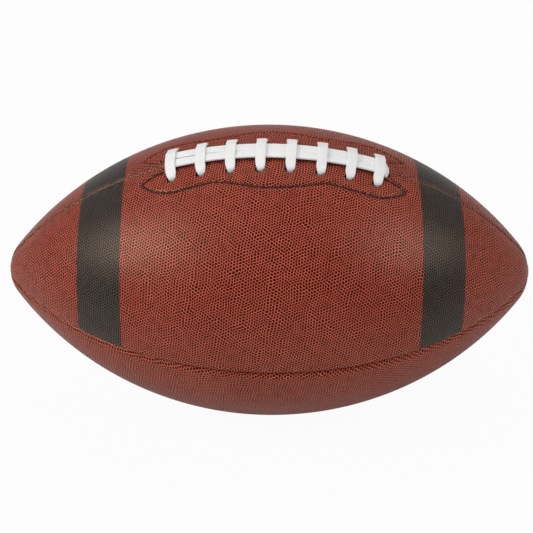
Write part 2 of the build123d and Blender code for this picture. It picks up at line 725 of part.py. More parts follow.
# Valve housing: a tube through the cover with a flange against the bladder's inner wall
FLANGE_SAG = VALVE_FLANGE_RADIUS**2 / (2 * (BELLY_RADIUS - BLADDER_DEPTH - BLADDER_WALL))
FLANGE_DEPTH = BLADDER_DEPTH + BLADDER_WALL + FLANGE_SAG + VALVE_GAP
with BuildPart() as valve_housing:
    with BuildSketch(VALVE_PLANE.offset(-VALVE_RECESS)):
        Circle(VALVE_STEM_RADIUS)
    extrude(amount=-VALVE_LENGTH)
    with BuildSketch(VALVE_PLANE.offset(-FLANGE_DEPTH)):
        Circle(VALVE_FLANGE_RADIUS)
    extrude(amount=-VALVE_FLANGE_THICKNESS)
    with BuildSketch(VALVE_PLANE.offset(-VALVE_RECESS)):
        Circle(CORE_RADIUS + VALVE_GAP)
    extrude(amount=-VALVE_LENGTH, mode=Mode.SUBTRACT)
    with BuildSketch(VALVE_PLANE.offset(-VALVE_RECESS)):
        Circle(CORE_HEAD_RADIUS + VALVE_GAP)
    extrude(amount=-CORE_HEAD_THICKNESS, mode=Mode.SUBTRACT)
save(valve_housing, "valve_housing")

# Valve core: a rubber plug with a needle bore that ends in a slit
with BuildPart() as valve_core:
    with BuildSketch(VALVE_PLANE.offset(-VALVE_RECESS)):
        Circle(CORE_HEAD_RADIUS)
    extrude(amount=-CORE_HEAD_THICKNESS)
    with BuildSketch(VALVE_PLANE.offset(-VALVE_RECESS)):
        Circle(CORE_RADIUS)
    extrude(amount=-VALVE_LENGTH)
    with BuildSketch(VALVE_PLANE.offset(-VALVE_RECESS)):
        Circle(NEEDLE_BORE_RADIUS)
    extrude(amount=-NEEDLE_BORE_LENGTH, mode=Mode.SUBTRACT)
    with BuildSketch(VALVE_PLANE.offset(-VALVE_RECESS - NEEDLE_BORE_LENGTH)):
        Rectangle(CORE_SLIT_WIDTH, CORE_SLIT_THICKNESS)
    extrude(amount=-VALVE_LENGTH, mode=Mode.SUBTRACT)
save(valve_core, "valve_core")
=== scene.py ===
import json
from bisect import bisect_right
from math import asin, atan2, cos, exp, hypot, pi, radians, sin, sqrt

import bmesh
import bpy
from mathutils import Matrix, Vector, kdtree, noise
from mathutils.geometry import interpolate_bezier


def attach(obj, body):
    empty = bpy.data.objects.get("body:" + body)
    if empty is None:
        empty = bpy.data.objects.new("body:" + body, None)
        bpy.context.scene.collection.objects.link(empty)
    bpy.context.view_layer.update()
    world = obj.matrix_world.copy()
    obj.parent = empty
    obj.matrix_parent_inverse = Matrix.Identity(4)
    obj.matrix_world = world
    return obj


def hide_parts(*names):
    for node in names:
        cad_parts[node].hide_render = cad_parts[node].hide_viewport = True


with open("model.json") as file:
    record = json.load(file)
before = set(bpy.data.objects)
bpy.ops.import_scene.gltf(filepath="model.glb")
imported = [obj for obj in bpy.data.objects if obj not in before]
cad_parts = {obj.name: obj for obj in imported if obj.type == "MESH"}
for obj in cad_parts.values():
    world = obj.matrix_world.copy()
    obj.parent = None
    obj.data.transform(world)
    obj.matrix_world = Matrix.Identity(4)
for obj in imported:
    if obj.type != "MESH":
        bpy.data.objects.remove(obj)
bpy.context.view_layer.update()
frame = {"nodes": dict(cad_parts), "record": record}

# An american football, dressed. Shapes are drawn in millimetres and scaled once to metres.
# X runs nose to nose, +Z points out through the lacing, and -Y is the front.
MM = 0.001

# Form of the ball, as in its solids: a belly arc that runs tangent into a nose arc at each end
HALF_LENGTH = 141.5
BELLY_RADIUS = 78.8
NOSE_RADIUS = 21.2
TIP_RADIUS = 0.4
NOSE_CENTRE = HALF_LENGTH - NOSE_RADIUS
ARC_RADIUS = (NOSE_CENTRE**2 + BELLY_RADIUS**2 - NOSE_RADIUS**2) / (2 * (BELLY_RADIUS - NOSE_RADIUS))
ARC_CENTRE = BELLY_RADIUS - ARC_RADIUS
NOSE_TURN = atan2(-ARC_CENTRE, NOSE_CENTRE)
BELLY_TURN = pi / 2 - NOSE_TURN

# Leather panels, whose edges roll down into the seams
LEATHER = 2.0
LACE_LIP = 2.4
SIDE_LIP = 3.5
LIP_SHARE = 0.22
LIP_DEPTH = 0.55
NOSE_BLUNT = 1.0
NOSE_BLUNT_REACH = 7.0
LIP_WANDER = 0.12
PUCKER_DEPTH = 0.14
PUCKER_PITCH = 6.5
PUCKER_WIDTH = 3.0
NOSE_STEPS = 16
BELLY_STEPS = 240
LIP_TURN = radians(3.0)
LIP_STEPS = 7
PANEL_STEPS = 84
# Half length and reach of the leather round the lacing that has a finer mesh, and of what is drawn in
FINE_LENGTH = 72
FINE_REACH = 29
DRAWN_LENGTH = 76
DRAWN_REACH = 32
# Hole in the rear lace panel for the valve
VALVE_ANGLE = 45
VALVE_HOLE_RADIUS = 3.85
VALVE_PLUG_DEPTH = 12

# Lacing: cross-laces over two strips along the seam. Reaches run across the seam, to the rear.
FRONT = -1
REAR = 1
LACING_SHIFT = 2.3
LACING_LEAN = -0.018
LACE_COUNT = 8
LACE_PITCH = 15.15
LACE_WIDTH = 5.0
LACE_THICKNESS = 1.1
LACE_EDGE = 0.45
LACE_LEAN_STEP = 0.45
LACE_LEAN = 1.45
# How far hand lacing left each cross-lace off its even place
LACE_STRAY = (-0.2, -0.3, -0.4, -0.4, -0.4, -0.1, -0.4, -1.3)
LACE_CROWN = 0.12
LACE_WAVE = 0.1
LACE_FLARE = 0.25
TIP_START = 7.5
TIP_LENGTH = 4.6
TIP_LIMIT = 0.9
TIP_CURL = 0.9
TIP_ASIDE = 0.4
# Each row's reach, and its holes' length, width and shift along the ball
HOLES = {FRONT: (11.6, 4.0, 3.4, -0.35), REAR: (13.8, 6.2, 4.0, 0.0)}
HOLE_CORNER = 1.0
HOLE_DIP = 0.45
HOLE_DIP_WIDTH = 3.4
PLUG_DEPTH = 9
STRIP_WIDTH = 5.3
STRIP_GAP = 0.8
STRIP_SHIFT = 0.35
STRIP_HEIGHT = 1.85
STRIP_END_LEFT = 3.4
STRIP_END_RIGHT = 5.1
STRIP_CROWN = 0.1
STRIP_WAVE = 0.12
STRIP_CLOSE_LENGTH = 45
STRIP_ROUND_LEFT = 1.2
STRIP_ROUND_RIGHT = 1.9
SLIT_WIDTH = 2.0
SLIT_INSET = 2.5
SLIT_DEPTH = 14

# Stitch line of a facing, from the lacing's middle: distance along the seam and reach from it
STITCH_PITCH = 3.4
STITCH_LENGTH = 3.5
STITCH_RADIUS = 0.66
STITCH_GROOVE = 0.55
GROOVE_WIDTH = 0.85
GROOVE_RIM = 0.16
GROOVE_RIM_REACH = 2.4
GROOVE_RIM_WIDTH = 1.3
FACING_LEFT_TAIL = [(-57.4, 4.2), (-63.2, 6.0), (-68.7, 9.4)]
FACING_LOOP = [
    (-68.7, 9.4),
    (-63.4, 15.0),
    (-54.3, 19.2),
    (-44.2, 19.1),
    (-31.5, 17.9),
    (-17.3, 21.0),
    (-9.4, 22.8),
    (0.5, 23.1),
    (13.4, 21.4),
    (24.9, 18.6),
    (40.4, 20.2),
    (51.6, 20.5),
    (59.4, 17.2),
    (66.0, 12.3),
]
FACING_RIGHT_TAIL = [(66.0, 12.3), (60.5, 9.1), (54.1, 7.1)]
THREAD_HEIGHTS = {FRONT: -0.15, REAR: -0.75}


def hex_colour(text):
    """An sRGB hex value as linear colour."""
    channels = [int(text[i : i + 2], 16) / 255 for i in (1, 3, 5)]
    return tuple(c / 12.92 if c <= 0.04045 else ((c + 0.055) / 1.055) ** 2.4 for c in channels) + (1.0,)


def smooth(low, high, value):
    """Smooth step from 0 at low to 1 at high."""
    share = min(max((value - low) / (high - low), 0.0), 1.0)
    return share * share * (3 - 2 * share)


def add_node(tree, kind, inputs=None, **settings):
    """A node with its settings; an input is a value, or a socket to link from."""
    node = tree.nodes.new(kind)
    for name, value in settings.items():
        setattr(node, name, value)
    for name, value in (inputs or {}).items():
        if isinstance(value, bpy.types.NodeSocket):
            tree.links.new(value, node.inputs[name])
        else:
            node.inputs[name].default_value = value
    return node


def new_finish(name):
    """An empty node material, its tree and its shader."""
    finish = bpy.data.materials.new(name)
    finish.use_nodes = True
    return finish, finish.node_tree, finish.node_tree.nodes["Principled BSDF"]


# UV maps are drawn in lengths of 100 mm
UV_MM = 100.0


def pebbled_leather(name, printed):
    """Tanned leather, embossed with a pebble grain: a satin surface, close set with small pits that are
    painted dark as a painted shade.

    The lace panels also carry two printed dark bands, worn where the lip of the lace seam is handled.
    """
    ripple_length = 1.34
    drift_size = 14.0
    drift_reach = 2.8
    change_size = 4.0
    patch_size = 35.0
    crease_size = 0.45
    pit_depth = 0.07
    finish, tree, shader = new_finish(name)
    hide = add_node(tree, "ShaderNodeUVMap", uv_map="hide").outputs["UV"]
    place = add_node(tree, "ShaderNodeTexCoord").outputs["Object"]

    # Three ripples that cross at 60 degrees set the pits out like a honeycomb, whose rows a drift bends.
    # Each ripple is stronger in some places, so that the pits there run together into short creases.
    drift = add_node(
        tree,
        "ShaderNodeTexNoise",
        {"Vector": hide, "Scale": UV_MM / drift_size, "Detail": 2.0, "Roughness": 0.65},
        noise_dimensions="2D",
    )
    bend = add_node(
        tree,
        "ShaderNodeVectorMath",
        {0: drift.outputs["Color"], 1: (drift_reach / UV_MM, drift_reach / UV_MM, 0.0), 2: hide},
        operation="MULTIPLY_ADD",
    ).outputs["Vector"]
    change = add_node(
        tree,
        "ShaderNodeTexNoise",
        {"Vector": hide, "Scale": UV_MM / change_size, "Detail": 0.0},
        noise_dimensions="2D",
    )
    strengths = add_node(
        tree,
        "ShaderNodeVectorMath",
        {0: change.outputs["Color"], 1: (0.7, 0.7, 0.7), 2: (0.65, 0.65, 0.65)},
        operation="MULTIPLY_ADD",
    ).outputs["Vector"]
    crossing = add_node(tree, "ShaderNodeCombineXYZ")
    for axis, heading in (("X", radians(8)), ("Y", radians(68)), ("Z", radians(128))):
        turns = 2 * pi * UV_MM / ripple_length
        pull = (turns * cos(heading), turns * sin(heading), 0.0)
        phase = add_node(tree, "ShaderNodeVectorMath", {0: bend, 1: pull}, operation="DOT_PRODUCT")
        ripple = add_node(tree, "ShaderNodeMath", {0: phase.outputs["Value"]}, operation="COSINE")
        tree.links.new(ripple.outputs[0], crossing.inputs[axis])
    ripples = add_node(
        tree,
        "ShaderNodeVectorMath",
        {0: crossing.outputs[0], 1: strengths},
        operation="DOT_PRODUCT",
    ).outputs["Value"]
    pit_shade = add_node(
        tree,
        "ShaderNodeMapRange",
        {"Value": ripples, "From Min": -1.4, "From Max": -0.15},
        interpolation_type="SMOOTHSTEP",
    ).outputs["Result"]
    dome = add_node(
        tree,
        "ShaderNodeMapRange",
        {"Value": ripples, "From Min": 2.0, "From Max": -1.4},
    ).outputs["Result"]

    # Tanning leaves broad patches a little lighter and darker
    patch = add_node(
        tree,
        "ShaderNodeTexNoise",
        {"Vector": place, "Scale": 1 / (patch_size * MM), "Detail": 3.0},
    ).outputs["Fac"]
    tone = add_node(
        tree,
        "ShaderNodeMapRange",
        {"Value": patch, "From Min": 0.3, "From Max": 0.7, "To Min": 0.0, "To Max": 1.0},
    ).outputs["Result"]
    ridge_tone = add_node(
        tree,
        "ShaderNodeMix",
        {0: tone, 6: hex_colour("#cf5c46"), 7: hex_colour("#d96750")},
        data_type="RGBA",
    ).outputs[2]
    # The pits are painted nearly black: a painted shade for the shadow that falls in them
    colour = add_node(
        tree,
        "ShaderNodeMix",
        {0: pit_shade, 6: ridge_tone, 7: hex_colour("#200000")},
        data_type="RGBA",
    ).outputs[2]

    if printed:
        band_start = 75.8
        band_end = 99.4
        band_blur = 0.4
        band_fray = 0.3
        rub_size = 5.0
        dash_pitch = 1.9
        dash_slant = 3.2
        axes = add_node(tree, "ShaderNodeSeparateXYZ", {"Vector": place})
        along = add_node(tree, "ShaderNodeMath", {0: axes.outputs["X"]}, operation="ABSOLUTE").outputs[0]
        fray = add_node(
            tree,
            "ShaderNodeMath",
            {0: dome, 1: band_fray * MM, 2: along},
            operation="MULTIPLY_ADD",
        ).outputs[0]
        start = add_node(
            tree,
            "ShaderNodeMapRange",
            {"Value": fray, "From Min": band_start * MM, "From Max": (band_start + band_blur) * MM},
        ).outputs["Result"]
        end = add_node(
            tree,
            "ShaderNodeMapRange",
            {"Value": fray, "From Min": band_end * MM, "From Max": (band_end - band_blur) * MM},
        ).outputs["Result"]
        band = add_node(tree, "ShaderNodeMath", {0: start, 1: end}, operation="MULTIPLY").outputs[0]
        # The rear lip of the lace seam is handled most: between its sewn puckers the hide goes pale and the
        # ink wears off,
        #         # in short slanting dashes. Between the dashes the lip is painted dark, a painted shade for
        #         the seam's crease.
        fade_in = add_node(
            tree,
            "ShaderNodeMapRange",
            {"Value": axes.outputs["Y"], "From Min": 0.2 * MM, "From Max": 0.9 * MM},
        ).outputs["Result"]
        fade_out = add_node(
            tree,
            "ShaderNodeMapRange",
            {"Value": axes.outputs["Y"], "From Min": 3.2 * MM, "From Max": 2.5 * MM},
        ).outputs["Result"]
        lip = add_node(tree, "ShaderNodeMath", {0: fade_in, 1: fade_out}, operation="MULTIPLY").outputs[0]
        rub = add_node(
            tree,
            "ShaderNodeTexNoise",
            {"Vector": place, "Scale": 1 / (rub_size * MM), "Detail": 2.0},
        ).outputs["Fac"]
        shake = add_node(tree, "ShaderNodeMath", {0: rub, 1: 9.0}, operation="MULTIPLY").outputs[0]
        spacing = add_node(
            tree,
            "ShaderNodeMath",
            {0: along, 1: 2 * pi / (dash_pitch * MM), 2: shake},
            operation="MULTIPLY_ADD",
        ).outputs[0]
        slant = add_node(
            tree,
            "ShaderNodeMath",
            {0: axes.outputs["Y"], 1: 2 * pi / (dash_slant * MM), 2: spacing},
            operation="MULTIPLY_ADD",
        ).outputs[0]
        row = add_node(tree, "ShaderNodeMath", {0: slant}, operation="SINE").outputs[0]
        dash = add_node(
            tree,
            "ShaderNodeMapRange",
            {"Value": row, "From Min": -0.5, "From Max": 0.5},
        ).outputs["Result"]
        worn = add_node(tree, "ShaderNodeMath", {0: lip, 1: dash}, operation="MULTIPLY").outputs[0]
        gap = add_node(tree, "ShaderNodeMath", {0: lip, 1: worn}, operation="SUBTRACT").outputs[0]
        pale = add_node(tree, "ShaderNodeMath", {0: worn, 1: 0.3}, operation="MULTIPLY").outputs[0]
        painted_crease_shade = add_node(tree, "ShaderNodeMath", {0: gap, 1: 0.9}, operation="MULTIPLY").outputs[0]
        colour = add_node(
            tree,
            "ShaderNodeMix",
            {0: pale, 6: colour, 7: hex_colour("#c98a74")},
            data_type="RGBA",
        ).outputs[2]
        # Painted shade: the lip between the worn dashes is painted dark, as the shadow in the seam's crease
        colour = add_node(
            tree,
            "ShaderNodeMix",
            {0: painted_crease_shade, 6: colour, 7: hex_colour("#2c0a05")},
            data_type="RGBA",
        ).outputs[2]
        # The ink's pits get the same painted shade
        ink_tone = add_node(
            tree,
            "ShaderNodeMix",
            {0: pit_shade, 6: hex_colour("#574c49"), 7: hex_colour("#050302")},
            data_type="RGBA",
        ).outputs[2]
        rubbed_ink = add_node(
            tree,
            "ShaderNodeMix",
            {0: worn, 6: ink_tone, 7: hex_colour("#664c3d")},
            data_type="RGBA",
        ).outputs[2]
        colour = add_node(
            tree,
            "ShaderNodeMix",
            {0: band, 6: colour, 7: rubbed_ink},
            data_type="RGBA",
        ).outputs[2]

    # Fine creases on top of the pebbles
    crease = add_node(
        tree,
        "ShaderNodeTexNoise",
        {"Vector": hide, "Scale": UV_MM / crease_size, "Detail": 2.0},
        noise_dimensions="2D",
    ).outputs["Fac"]
    height = add_node(
        tree,
        "ShaderNodeMath",
        {0: crease, 1: 0.12, 2: dome},
        operation="MULTIPLY_ADD",
    ).outputs[0]
    bump = add_node(tree, "ShaderNodeBump", {"Height": height, "Strength": 1.0, "Distance": pit_depth * MM})
    gloss = add_node(
        tree,
        "ShaderNodeMapRange",
        {"Value": dome, "To Min": 0.46, "To Max": 0.3},
    ).outputs["Result"]
    tree.links.new(colour, shader.inputs["Base Color"])
    tree.links.new(gloss, shader.inputs["Roughness"])
    tree.links.new(bump.outputs["Normal"], shader.inputs["Normal"])
    shader.inputs["Specular IOR Level"].default_value = 0.36
    shader.inputs["Specular Tint"].default_value = hex_colour("#ffe6c8")
    return finish


def speckled(name, dark, light, size, roughness, depth):
    """A plain finish with a fine random tooth: two close tones and a slight bump at one size."""
    finish, tree, shader = new_finish(name)
    place = add_node(tree, "ShaderNodeTexCoord").outputs["Object"]
    tooth = add_node(
        tree,
        "ShaderNodeTexNoise",
        {"Vector": place, "Scale": 1 / (size * MM), "Detail": 4.0},
    ).outputs["Fac"]
    spread = add_node(
        tree,
        "ShaderNodeMapRange",
        {"Value": tooth, "From Min": 0.3, "From Max": 0.7},
    ).outputs["Result"]
    colour = add_node(
        tree,
        "ShaderNodeMix",
        {0: spread, 6: hex_colour(dark), 7: hex_colour(light)},
        data_type="RGBA",
    ).outputs[2]
    bump = add_node(tree, "ShaderNodeBump", {"Height": spread, "Strength": 1.0, "Distance": depth * MM})
    tree.links.new(colour, shader.inputs["Base Color"])
    tree.links.new(bump.outputs["Normal"], shader.inputs["Normal"])
    shader.inputs["Roughness"].default_value = roughness
    return finish


def woven_cotton(name):
    """Plain-woven cotton drill, undyed: crossing threads that show as a small matte check."""
    thread_pitch = 0.9
    finish, tree, shader = new_finish(name)
    place = add_node(tree, "ShaderNodeTexCoord").outputs["Object"]
    axes = add_node(tree, "ShaderNodeSeparateXYZ", {"Vector": place})
    rows = []
    for source in (axes.outputs["X"], axes.outputs["Y"]):
        turn = add_node(
            tree,
            "ShaderNodeMath",
            {0: source, 1: 2 * pi / (thread_pitch * MM)},
            operation="MULTIPLY",
        ).outputs[0]
        rows.append(add_node(tree, "ShaderNodeMath", {0: turn}, operation="SINE").outputs[0])
    weave = add_node(tree, "ShaderNodeMath", {0: rows[0], 1: rows[1]}, operation="MULTIPLY").outputs[0]
    spread = add_node(
        tree,
        "ShaderNodeMapRange",
        {"Value": weave, "From Min": -1.0, "From Max": 1.0},
    ).outputs["Result"]
    colour = add_node(
        tree,
        "ShaderNodeMix",
        {0: spread, 6: hex_colour("#a89c82"), 7: hex_colour("#cfc6b0")},
        data_type="RGBA",
    ).outputs[2]
    bump = add_node(tree, "ShaderNodeBump", {"Height": spread, "Strength": 1.0, "Distance": 0.1 * MM})
    tree.links.new(colour, shader.inputs["Base Color"])
    tree.links.new(bump.outputs["Normal"], shader.inputs["Normal"])
    shader.inputs["Roughness"].default_value = 0.9
    return finish


plain_hide = pebbled_leather("pebbled_leather", False)
banded_hide = pebbled_leather("pebbled_leather_printed", True)
cut_hide = speckled("leather_cut_edge", "#c8703c", "#f0a468", 0.6, 0.85, 0.08)
# The same cut edge painted dark: a painted shade for hole walls that lie in shadow
painted_shade_cut_hide = speckled("leather_cut_edge_painted_shade", "#1c0d09", "#2e1710", 0.6, 0.85, 0.08)
lace_finish = speckled("white_coated_lace", "#e9e9e8", "#f3f3f2", 0.7, 0.6, 0.05)
thread_finish = speckled("waxed_brown_thread", "#2c130c", "#50281c", 0.35, 0.6, 0.08)
facing_finish = speckled("smooth_undyed_leather", "#8f5f38", "#a9764a", 0.8, 0.7, 0.05)
bladder_finish = speckled("moulded_butyl_rubber", "#161616", "#1f1f1f", 1.2, 0.7, 0.03)
valve_finish = speckled("moulded_valve_rubber", "#0d0d0d", "#171717", 0.5, 0.55, 0.02)
lining_finish = woven_cotton("cotton_drill_lining")


def add_piece(name, bm, finishes, nodes):
    """Turn a bmesh drawn in millimetres into a piece that stands for some solids."""
    bmesh.ops.scale(bm, vec=(MM, MM, MM), verts=bm.verts)
    mesh = bpy.data.meshes.new(name)
    bm.to_mesh(mesh)
    bm.free()
    mesh.shade_smooth()
    piece = bpy.data.objects.new(name, mesh)
    bpy.context.scene.collection.objects.link(piece)
    for finish in finishes:
        mesh.materials.append(finish)
    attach(piece, "root")
    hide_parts(*nodes)
    return piece


def settle(piece, sharp_angle):
    """Apply a piece's modifiers and keep edges sharper than an angle crisp."""
    depsgraph = bpy.context.evaluated_depsgraph_get()
    mesh = bpy.data.meshes.new_from_object(
        piece.evaluated_get(depsgraph), preserve_all_data_layers=True, depsgraph=depsgraph
    )
    piece.modifiers.clear()
    mesh.name = piece.name
    piece.data = mesh
    mesh.set_sharp_from_angle(angle=sharp_angle)


def flowing_line(points, steps=12):
    """A smooth line through points."""
    points = [Vector(point).to_3d() for point in points]
    last = len(points) - 1
    pulls = []
    for index in range(len(points)):
        pulls.append((points[min(index + 1, last)] - points[max(index - 1, 0)]) / 6)
    line = []
    for index in range(last):
        start, end = points[index], points[index + 1]
        line += interpolate_bezier(start, start + pulls[index], end - pulls[index + 1], end, steps + 1)[:-1]
    return line + [points[-1]]


def running_lengths(line):
    """Distance along a line at each of its points."""
    lengths = [0.0]
    for start, end in zip(line, line[1:]):
        lengths.append(lengths[-1] + (end - start).length)
    return lengths


def point_along(line, lengths, distance):
    """Point at a distance along a line."""
    index = min(max(bisect_right(lengths, distance), 1), len(line) - 1)
    share = (distance - lengths[index - 1]) / (lengths[index] - lengths[index - 1])
    return line[index - 1].lerp(line[index], share)


def on_skin(x, reach, height):
    """Point beside the lace seam: X, a reach along the skin from the seam, and a height over the skin."""
    slope = asin(x / ARC_RADIUS)
    radius = ARC_CENTRE + ARC_RADIUS * cos(slope)
    out = radius + height * cos(slope)
    turn = reach / radius
    return Vector((x + height * sin(slope), out * sin(turn), out * cos(turn)))


def skin_frame(x, reach, height, heading):
    """Matrix that sets a shape on the skin, its X along a heading in plan and its Z outwards."""
    place = on_skin(x, reach, height)
    outward = (on_skin(x, reach, height + 1) - place).normalized()
    ahead = on_skin(x + cos(heading), reach + sin(heading), height) - place
    ahead = (ahead - outward * ahead.dot(outward)).normalized()
    turn = Matrix((ahead, outward.cross(ahead), outward)).transposed()
    return Matrix.Translation(place) @ turn.to_4x4()


def lace_x(index):
    """Place of a cross-lace along the ball; hand lacing leaves each a little off its even place."""
    return LACING_SHIFT + (index - (LACE_COUNT - 1) / 2) * LACE_PITCH + LACE_STRAY[index]


def lacing_reach(x):
    """How far across the seam the whole lacing has been drawn at X: it runs a little askew."""
    return LACING_LEAN * (x - LACING_SHIFT)


def lace_lean(index):
    """How far a cross-lace leans along the ball between its front hole and its rear hole."""
    return LACE_LEAN + (index - (LACE_COUNT - 1) / 2) * LACE_LEAN_STEP


def hole_x(index, side):
    """Place along the ball of a lace hole in the front or rear row."""
    return lace_x(index) + side * lace_lean(index) / 2


facing_runs = []
for run in (FACING_LEFT_TAIL, FACING_LOOP, FACING_RIGHT_TAIL):
    facing_runs.append(flowing_line([(LACING_SHIFT + x, reach) for x, reach in run]))
facing_points = [point for run in facing_runs for point in run]
facing_tree = kdtree.KDTree(len(facing_points))
for number, point in enumerate(facing_points):
    facing_tree.insert(point, number)
facing_tree.balance()


def profile_slope(x):
    """Angle by which the skin falls away from X, and the distance along the skin from the belly's middle."""
    side = 1 if x >= 0 else -1
    if abs(x) <= ARC_RADIUS * sin(BELLY_TURN):
        slope = asin(x / ARC_RADIUS)
        return slope, ARC_RADIUS * slope
    slope = asin(min((abs(x) - NOSE_CENTRE) / NOSE_RADIUS, 1.0))
    return side * slope, side * (ARC_RADIUS * BELLY_TURN + NOSE_RADIUS * (slope - BELLY_TURN))


def lacing_dip(x, reach, side):
    """Depth to which the leather is drawn in along the facing's stitches and at the lace holes."""
    gap = facing_tree.find((x, reach, 0))[2]
    dip = STITCH_GROOVE * exp(-((gap / GROOVE_WIDTH) ** 2))
    dip -= GROOVE_RIM * exp(-(((gap - GROOVE_RIM_REACH) / GROOVE_RIM_WIDTH) ** 2))
    for index in range(LACE_COUNT):
        hole = hole_x(index, side)
        away = hypot(x - hole, reach - HOLES[side][0] - side * lacing_reach(hole))
        dip += HOLE_DIP * exp(-((away / HOLE_DIP_WIDTH) ** 2))
    return dip


def spin_on(bm, geom, centre, axis, turn, steps):
    """Spin geometry and return its last copy."""
    return bmesh.ops.spin(
        bm, geom=geom, cent=centre, axis=axis, angle=turn, steps=steps, use_merge=False, use_duplicate=False
    )["geom_last"]


def panel_mesh(start, lips, lace_side, shift):
    """A quarter of the skin, spun about the ball's axis, with rolled lips along both seams.

    The start is the turn from the lace seam towards the front at which the panel begins, and the lips
    are the radii of its two rolled edges.
    """
    bm = bmesh.new()
    tip_turn = TIP_RADIUS / NOSE_RADIUS
    tip = (-NOSE_CENTRE - NOSE_RADIUS * cos(tip_turn), 0, NOSE_RADIUS * sin(tip_turn))
    last = [bm.verts.new(tip)]
    for centre, turn, steps in (
        ((-NOSE_CENTRE, 0, 0), NOSE_TURN - tip_turn, NOSE_STEPS),
        ((0, 0, ARC_CENTRE), 2 * BELLY_TURN, BELLY_STEPS),
        ((NOSE_CENTRE, 0, 0), NOSE_TURN - tip_turn, NOSE_STEPS),
    ):
        last = spin_on(bm, last, centre, (0, 1, 0), turn, steps)
    bmesh.ops.rotate(bm, verts=bm.verts, cent=(0, 0, 0), matrix=Matrix.Rotation(start, 3, "X"))
    last = bm.verts[:] + bm.edges[:]
    for turn, steps in ((LIP_TURN, LIP_STEPS), (pi / 2 - 2 * LIP_TURN, PANEL_STEPS), (LIP_TURN, LIP_STEPS)):
        last = spin_on(bm, last, (0, 0, 0), (1, 0, 0), turn, steps)

    if lace_side:
        # The leather round the lacing needs a finer mesh for its stitch groove and holes
        near = []
        for edge in bm.edges:
            middle = (edge.verts[0].co + edge.verts[1].co) / 2
            reach = abs(atan2(middle.y, middle.z)) * hypot(middle.y, middle.z)
            if abs(middle.x - LACING_SHIFT) < FINE_LENGTH and reach < FINE_REACH:
                near.append(edge)
        bmesh.ops.subdivide_edges(bm, edges=near, cuts=1, use_grid_fill=True)

    chart = {}
    for vert in bm.verts:
        x, y, z = vert.co
        radius = hypot(y, z)
        turn = (atan2(-y, z) - start + 1e-6) % (2 * pi) - 1e-6
        slope, along = profile_slope(x)
        chart[vert] = (along, (turn - pi / 4) * radius)
        from_end = pi / 2 - turn < turn
        inset = radius * (pi / 2 - turn if from_end else turn)
        wander = 1 + LIP_WANDER * noise.noise(Vector((along / 9, start * 7, 3.0 if from_end else 8.0)))
        lip = min(lips[from_end], LIP_SHARE * radius * pi / 2) * wander
        drop = 0.0
        if lace_side:
            reach = radius * (turn if lace_side == FRONT else pi / 2 - turn)
            if reach < DRAWN_REACH and abs(x - LACING_SHIFT) < DRAWN_LENGTH:
                drop += lacing_dip(x, reach, lace_side)
        gather = 0.5 + 0.5 * cos(2 * pi * along / PUCKER_PITCH)
        drop += PUCKER_DEPTH * gather * exp(-(((inset - lip) / PUCKER_WIDTH) ** 2)) * smooth(0, 25, radius)
        if inset < lip:
            share = pi / 2 * inset / lip
            inset = lip * (1 - cos(share))
            drop += lip * (1 - (1 - LIP_DEPTH) * smooth(4, 20, radius)) * (1 - sin(share))
        turn = start + (pi / 2 - inset / radius if from_end else inset / radius)
        out = radius - drop * cos(slope)
        # The right nose is worn a little blunt
        x -= NOSE_BLUNT * smooth(HALF_LENGTH - NOSE_BLUNT_REACH, HALF_LENGTH, x)
        vert.co = (x - drop * sin(slope), -out * sin(turn), out * cos(turn))
    hide = bm.loops.layers.uv.new("hide")
    for face in bm.faces:
        for loop in face.loops:
            along, across = chart[loop.vert]
            loop[hide].uv = ((along + shift) / UV_MM, across / UV_MM)
    bmesh.ops.recalc_face_normals(bm, faces=bm.faces)
    bm.faces.ensure_lookup_table()
    face = bm.faces[len(bm.faces) // 2]
    if face.normal.dot(face.calc_center_median()) < 0:
        bmesh.ops.reverse_faces(bm, faces=bm.faces)
    return bm


def hole_cutter(side, edge_finish):
    """Plugs where the lace goes through one lace panel, and where the valve shows."""
    bm = bmesh.new()
    reach, length, width, aside = HOLES[side]
    for index in range(LACE_COUNT):
        x = hole_x(index, side) + aside
        place = skin_frame(x, side * reach + lacing_reach(x), 0, 0)
        size = Matrix.Diagonal((length, width, PLUG_DEPTH, 1))
        plug = bmesh.ops.create_cube(bm, size=1, matrix=place @ size)
        edges = {edge for vert in plug["verts"] for edge in vert.link_edges}
        upright = [edge for edge in edges if edge.calc_length() > PLUG_DEPTH - 1]
        bmesh.ops.bevel(
            bm, geom=upright, offset=HOLE_CORNER, affect="EDGES", segments=5, profile=0.5, material=-1
        )
    for x in (lace_x(0) - STRIP_END_LEFT, lace_x(LACE_COUNT - 1) + STRIP_END_RIGHT):
        place = skin_frame(x, STRIP_SHIFT + lacing_reach(x), 0, 0)
        size = Matrix.Diagonal((SLIT_WIDTH, 2 * STRIP_WIDTH - SLIT_INSET, SLIT_DEPTH, 1))
        bmesh.ops.create_cube(bm, size=1, matrix=place @ size)
    if side == REAR:
        place = Matrix.Rotation(radians(-VALVE_ANGLE), 4, "X") @ Matrix.Translation((0, 0, BELLY_RADIUS))
        bmesh.ops.create_cone(
            bm,
            cap_ends=True,
            segments=48,
            radius1=VALVE_HOLE_RADIUS,
            radius2=VALVE_HOLE_RADIUS,
            depth=VALVE_PLUG_DEPTH,
            matrix=place,
        )
    bmesh.ops.scale(bm, vec=(MM, MM, MM), verts=bm.verts)
    mesh = bpy.data.meshes.new("plugs")
    bm.to_mesh(mesh)
    bm.free()
    mesh.materials.append(edge_finish)
    cutter = bpy.data.objects.new("plugs", mesh)
    bpy.context.scene.collection.objects.link(cutter)
    return cutter


